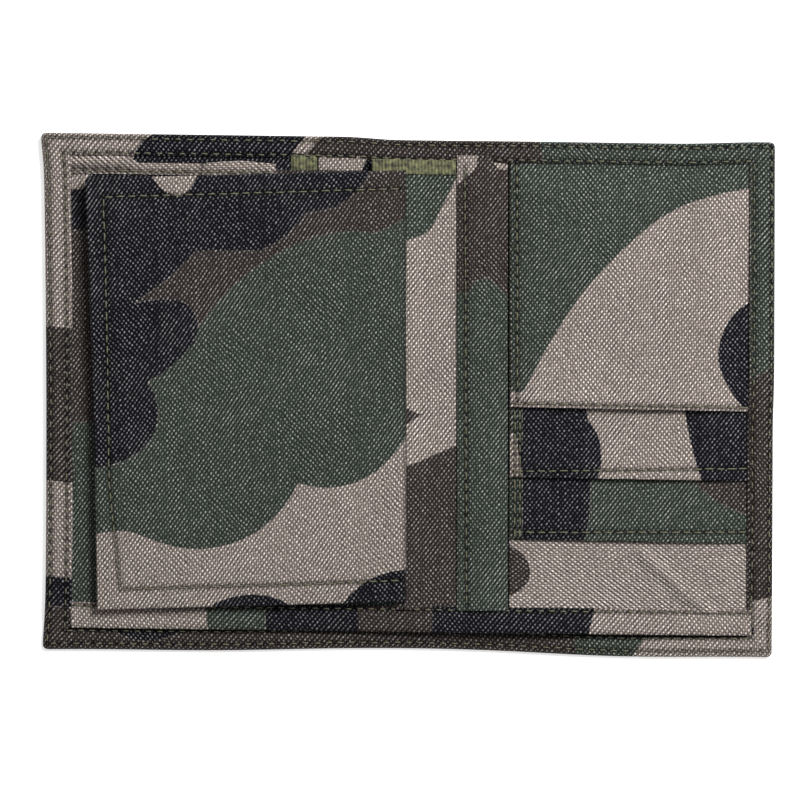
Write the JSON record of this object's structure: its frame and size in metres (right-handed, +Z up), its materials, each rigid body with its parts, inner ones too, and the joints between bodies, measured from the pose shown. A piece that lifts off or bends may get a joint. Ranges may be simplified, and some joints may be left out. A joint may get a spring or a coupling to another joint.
{
  "type": "folding cloth wallet",
  "caption": "Cloth wallet in a camouflage pattern, lying open, with a banknote compartment, stepped card pockets and a centre leaf that turns like a page.",
  "frame": {"origin": "middle of the open wallet's outline, on the surface it lies on", "axes": "+X from the leaf's half to the card pockets' half, +Y away from the banknote mouth, +Z up out of the inside"},
  "size_m": [0.199, 0.141, 0.0077],
  "materials": {
    "camouflage_cloth": "woven polyester in four colours, matt",
    "binding_tape": "ribbed tape, matt",
    "thread": "spun sewing thread",
    "clear_window": "clear soft vinyl, glossy"
  },
  "bodies": {
    "left_half": {"cover_left": "camouflage_cloth", "binding_left_side": "camouflage_cloth", "binding_left_top": "camouflage_cloth", "binding_left_mouth": "camouflage_cloth", "divider_left": "camouflage_cloth", "divider_hem_left": "camouflage_cloth", "left_pocket": "camouflage_cloth", "left_pocket_band": "camouflage_cloth", "spine_tape_left": "binding_tape", "stitching_left_outer": "thread", "stitching_left_inner": "thread", "stitching_left_mouth": "thread", "stitching_left_hem": "thread", "stitching_left_band": "thread"},
    "right_half": {"cover_right": "camouflage_cloth", "binding_right_side": "camouflage_cloth", "binding_right_top": "camouflage_cloth", "binding_right_mouth": "camouflage_cloth", "divider_right": "camouflage_cloth", "divider_hem_right": "camouflage_cloth", "card_backing": "camouflage_cloth", "card_pocket_rear": "camouflage_cloth", "card_pocket_middle": "camouflage_cloth", "card_pocket_front": "camouflage_cloth", "spine_strip": "camouflage_cloth", "leaf_flange": "camouflage_cloth", "spine_tape_right": "binding_tape", "stitching_right_outer": "thread", "stitching_right_inner": "thread", "stitching_right_mouth": "thread", "stitching_right_hem": "thread", "stitching_pocket_front": "thread", "stitching_pocket_middle": "thread", "stitching_pocket_rear": "thread", "stitching_side_middle": "thread", "stitching_side_rear": "thread", "stitching_spine": "thread"},
    "leaf": {"leaf_face": "camouflage_cloth", "leaf_frame_low": "camouflage_cloth", "leaf_frame_high": "camouflage_cloth", "leaf_frame_hinge": "camouflage_cloth", "leaf_frame_outer": "camouflage_cloth", "leaf_window": "clear_window", "stitching_leaf": "thread"}
  },
  "joints": [
    {"name": "cover_fold", "type": "hinge", "parent": "left_half", "child": "right_half", "pos_m": [0, 0, 0.0075], "axis": [0, -1, 0], "range_deg": [0, 180]},
    {"name": "leaf_turn", "type": "hinge", "parent": "left_half", "child": "leaf", "pos_m": [0, 0, 0.0075], "axis": [0, 1, 0], "range_deg": [0, 180]}
  ]
}
